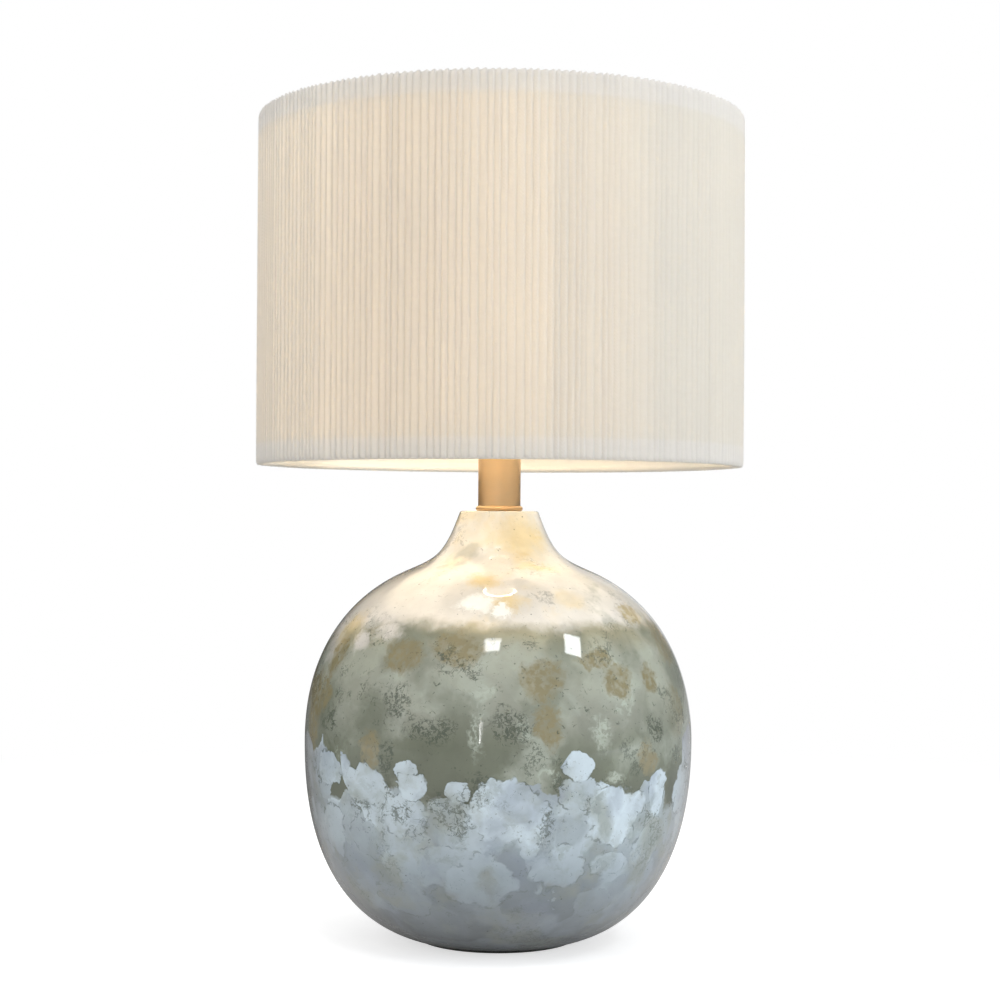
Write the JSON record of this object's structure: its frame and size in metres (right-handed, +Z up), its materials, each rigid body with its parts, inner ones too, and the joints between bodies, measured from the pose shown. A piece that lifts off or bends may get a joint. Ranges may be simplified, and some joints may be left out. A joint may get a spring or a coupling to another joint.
{
  "type": "table lamp",
  "caption": "Gourd-shaped glazed ceramic table lamp with a brass neck, harp, turn-knob socket, screw-in bulb and a removable knife-pleated drum shade held by a finial.",
  "frame": {"origin": "on the table at the centre of the felt foot", "axes": "+Z up the lamp pipe, -Y towards the switch knob and the picture's camera, +Y towards the cord outlet"},
  "size_m": [0.32, 0.32, 0.5414],
  "materials": {
    "glazed_ceramic": "gloss reactive glaze",
    "felt": "felt",
    "rubber": "matt",
    "steel": "zinc plated",
    "brass": "plain",
    "satin_brass": "satin, lacquered",
    "insulating_card": "fibre card",
    "phenolic": "moulded phenolic",
    "cap_metal": "rolled",
    "cap_glass": "black insulator",
    "bulb_housing": "white",
    "opal": "opal diffuser",
    "board": "white",
    "pleated_cloth": "knife pleated",
    "liner": "white liner film",
    "hem_cloth": "plain weave",
    "white_wire": "powder coat"
  },
  "bodies": {
    "base": {"ceramic_body": "glazed_ceramic", "felt_pad": "felt", "cord_outlet_bush": "rubber", "base_gasket": "rubber", "base_washer": "steel", "base_nut": "brass", "lamp_pipe": "steel", "neck_ring": "satin_brass", "neck_tube": "satin_brass", "tube_cap": "satin_brass", "harp_saddle": "brass", "saddle_nut": "brass", "socket_cap": "brass", "socket_shell": "brass", "socket_insulator": "insulating_card", "socket_core": "phenolic", "screw_shell": "cap_metal", "socket_contact": "brass", "terminal_screws": "brass", "cap_set_screw": "steel"},
    "knob": {"switch_shaft": "brass", "switch_knob": "phenolic"},
    "bulb": {"bulb_screw_cap": "cap_metal", "bulb_cap_insulator": "cap_glass", "bulb_eyelet": "brass", "bulb_housing": "bulb_housing", "bulb_globe": "opal", "bulb_light_board": "board"},
    "harp": {"harp_bow": "brass"},
    "ferrule_left": {"harp_ferrule_left": "brass"},
    "ferrule_right": {"harp_ferrule_right": "brass"},
    "stud": {"harp_stud": "brass"},
    "shade": {"shade_fabric": "pleated_cloth", "shade_liner": "liner", "shade_top_frame": "white_wire", "shade_bottom_ring": "white_wire", "shade_top_hem": "hem_cloth", "shade_bottom_hem": "hem_cloth"},
    "finial": {"finial": "brass"}
  },
  "joints": [
    {"name": "knob_turn", "type": "hinge", "parent": "base", "child": "knob", "pos_m": [0, -0.0183, 0.3645], "axis": [0, -1, 0], "continuous": true},
    {"name": "bulb_out", "type": "slide", "parent": "base", "child": "bulb", "axis": [0, 0, 1], "range_m": [0, 0.02]},
    {"name": "harp_lift", "type": "slide", "parent": "base", "child": "harp", "axis": [0, 0, 1], "range_m": [0, 0.05]},
    {"name": "ferrule_left_lift", "type": "slide", "parent": "harp", "child": "ferrule_left", "axis": [0, 0, 1], "range_m": [0, 0.009]},
    {"name": "ferrule_right_lift", "type": "slide", "parent": "harp", "child": "ferrule_right", "axis": [0, 0, 1], "range_m": [0, 0.009]},
    {"name": "shade_swivel", "type": "hinge", "parent": "harp", "child": "stud", "pos_m": [0, 0, 0.5104], "axis": [0, 0, 1], "continuous": true},
    {"name": "shade_lift", "type": "slide", "parent": "stud", "child": "shade", "axis": [0, 0, 1], "range_m": [0, 0.23]},
    {"name": "finial_out", "type": "slide", "parent": "shade", "child": "finial", "axis": [0, 0, 1], "range_m": [0, 0.02]}
  ]
}
